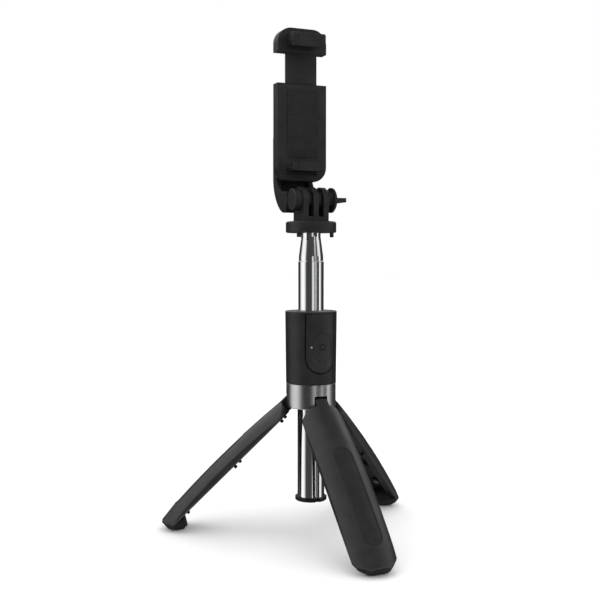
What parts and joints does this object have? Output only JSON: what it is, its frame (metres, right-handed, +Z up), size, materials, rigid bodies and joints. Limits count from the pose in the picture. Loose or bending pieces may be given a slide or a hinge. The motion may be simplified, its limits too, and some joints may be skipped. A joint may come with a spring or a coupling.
{
  "type": "tripod selfie stick",
  "caption": "Tripod selfie stick with folding legs, telescopic pole, tilting and turning sprung phone clamp, and removable shutter remote.",
  "frame": {"origin": "on the ground under the pole's axis, at the middle of the three feet", "axes": "+Z up along the pole; -Y is the front, which the remote's button, the front leg and a held phone's screen face; X is the axis of the head's tilt"},
  "size_m": [0.1622, 0.1432, 0.3031],
  "materials": {
    "black_plastic": "fine matte",
    "leg_plastic": "soft matte",
    "remote_plastic": "fine matte",
    "grey_plastic": "satin",
    "chrome": "mirror",
    "brushed_collar": "brushed",
    "zinc_steel": "plated",
    "cell_steel": "satin",
    "bronze": "satin",
    "black_rubber": "matte",
    "board": "gloss",
    "led": "clear"
  },
  "bodies": {
    "handle": {"upper_housing": "black_plastic", "housing_top_cap": "grey_plastic", "collar": "brushed_collar", "collar_screws": "zinc_steel", "hinge_pins": "zinc_steel", "outer_tube": "chrome", "tube_end_cap": "black_plastic"},
    "rod_1": {"rod_tube_1": "chrome", "rod_sleeve_1": "bronze"},
    "rod_2": {"rod_tube_2": "chrome", "rod_sleeve_2": "bronze"},
    "rod_3": {"rod_tube_3": "chrome", "rod_sleeve_3": "bronze"},
    "rod_4": {"rod_tube_4": "chrome", "rod_sleeve_4": "bronze"},
    "rod_5": {"rod_tube_5": "chrome", "rod_sleeve_5": "bronze", "head_cone": "chrome", "mount_disc": "black_plastic", "head_pin": "zinc_steel", "nut_cap": "black_plastic", "hex_nut": "zinc_steel"},
    "knob": {"thumb_knob": "black_plastic", "thumb_bolt": "zinc_steel"},
    "arm": {"clamp_arm": "black_plastic", "pivot_bolt": "zinc_steel", "pivot_nut": "zinc_steel", "friction_washer": "black_rubber"},
    "clamp": {"clamp_body": "black_plastic", "clamp_cover": "black_plastic", "lower_jaw": "black_plastic", "lower_jaw_pad": "black_rubber", "face_pad": "black_rubber", "jaw_springs": "zinc_steel", "lower_jaw_pin": "zinc_steel"},
    "jaw": {"upper_jaw": "black_plastic", "upper_jaw_pad": "black_rubber", "upper_jaw_pin": "zinc_steel"},
    "remote": {"remote_shell": "remote_plastic", "remote_back": "remote_plastic", "remote_board": "board", "coin_cell": "cell_steel", "tact_switch": "cell_steel", "led_lens": "led"},
    "button": {"shutter_button": "remote_plastic"},
    "leg_front": {"leg_shell_front": "leg_plastic", "leg_frame_front": "black_plastic", "foot_pad_front": "black_rubber", "leg_screws_front": "zinc_steel"},
    "leg_right": {"leg_shell_right": "leg_plastic", "leg_frame_right": "black_plastic", "foot_pad_right": "black_rubber", "leg_screws_right": "zinc_steel"},
    "leg_left": {"leg_shell_left": "leg_plastic", "leg_frame_left": "black_plastic", "foot_pad_left": "black_rubber", "leg_screws_left": "zinc_steel"}
  },
  "joints": [
    {"name": "leg_front_fold", "type": "hinge", "parent": "handle", "child": "leg_front", "pos_m": [0, -0.0113, 0.081], "axis": [-1, 0, 0], "range_deg": [-45, 0]},
    {"name": "leg_right_fold", "type": "hinge", "parent": "handle", "child": "leg_right", "pos_m": [0.00979, 0.00565, 0.081], "axis": [0.5, -0.866, 0], "range_deg": [-45, 0]},
    {"name": "leg_left_fold", "type": "hinge", "parent": "handle", "child": "leg_left", "pos_m": [-0.00979, 0.00565, 0.081], "axis": [0.5, 0.866, 0], "range_deg": [-45, 0]},
    {"name": "rod_1_slide", "type": "slide", "parent": "handle", "child": "rod_1", "axis": [0, 0, 1], "range_m": [-0.0459, 0.048]},
    {"name": "rod_2_slide", "type": "slide", "parent": "rod_1", "child": "rod_2", "axis": [0, 0, 1], "range_m": [0, 0.076]},
    {"name": "rod_3_slide", "type": "slide", "parent": "rod_2", "child": "rod_3", "axis": [0, 0, 1], "range_m": [0, 0.076]},
    {"name": "rod_4_slide", "type": "slide", "parent": "rod_3", "child": "rod_4", "axis": [0, 0, 1], "range_m": [0, 0.076]},
    {"name": "rod_5_slide", "type": "slide", "parent": "rod_4", "child": "rod_5", "axis": [0, 0, 1], "range_m": [0, 0.076]},
    {"name": "head_tilt", "type": "hinge", "parent": "rod_5", "child": "arm", "pos_m": [0, 0, 0.1997], "axis": [1, 0, 0], "range_deg": [-18, 110]},
    {"name": "knob_turn", "type": "hinge", "parent": "rod_5", "child": "knob", "pos_m": [0.0136, 0, 0.1997], "axis": [1, 0, 0], "continuous": true},
    {"name": "clamp_turn", "type": "hinge", "parent": "arm", "child": "clamp", "pos_m": [0, 0.021, 0.238], "axis": [0, 1, 0], "range_deg": [-90, 90]},
    {"name": "jaw_slide", "type": "slide", "parent": "clamp", "child": "jaw", "axis": [0, 0, 1], "range_m": [-0.018, 0.012], "stiffness_N_per_m": 150, "deforming": ["jaw_springs"]},
    {"name": "remote_release", "type": "slide", "parent": "handle", "child": "remote", "axis": [0, -1, 0], "range_m": [0, 0.012]},
    {"name": "shutter_press", "type": "slide", "parent": "remote", "child": "button", "axis": [0, 1, 0], "range_m": [0, 0.0004], "stiffness_N_per_m": 500}
  ]
}
